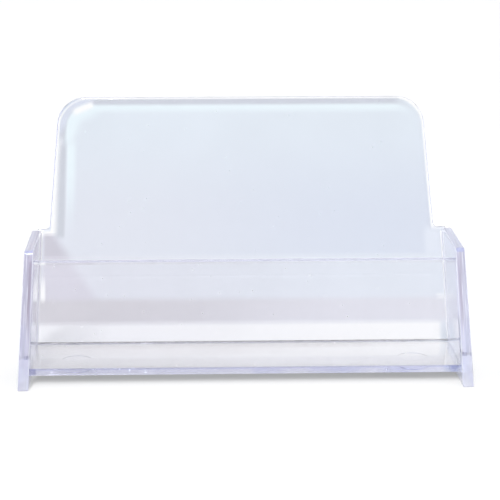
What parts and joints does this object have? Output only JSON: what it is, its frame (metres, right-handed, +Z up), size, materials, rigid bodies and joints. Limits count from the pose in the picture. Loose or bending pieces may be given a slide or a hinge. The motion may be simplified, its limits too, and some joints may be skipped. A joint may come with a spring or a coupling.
{
  "type": "business card holder stand",
  "caption": "Clear plastic desk stand for business cards: a slanted pocket between splayed side panels, with a low front panel and a tall tapered back panel.",
  "frame": {"origin": "centre of the footprint box, on the desk", "axes": "+X to the viewer's right, +Y towards the back, +Z up; the front panel faces -Y"},
  "size_m": [0.0994, 0.0431, 0.058],
  "materials": {
    "clear_plastic": "polished clear plastic with a faint blue-lavender tint"
  },
  "bodies": {
    "root": {"left_side_panel": "clear_plastic", "right_side_panel": "clear_plastic", "front_panel": "clear_plastic", "floor_panel": "clear_plastic", "back_panel": "clear_plastic"}
  },
  "joints": []
}
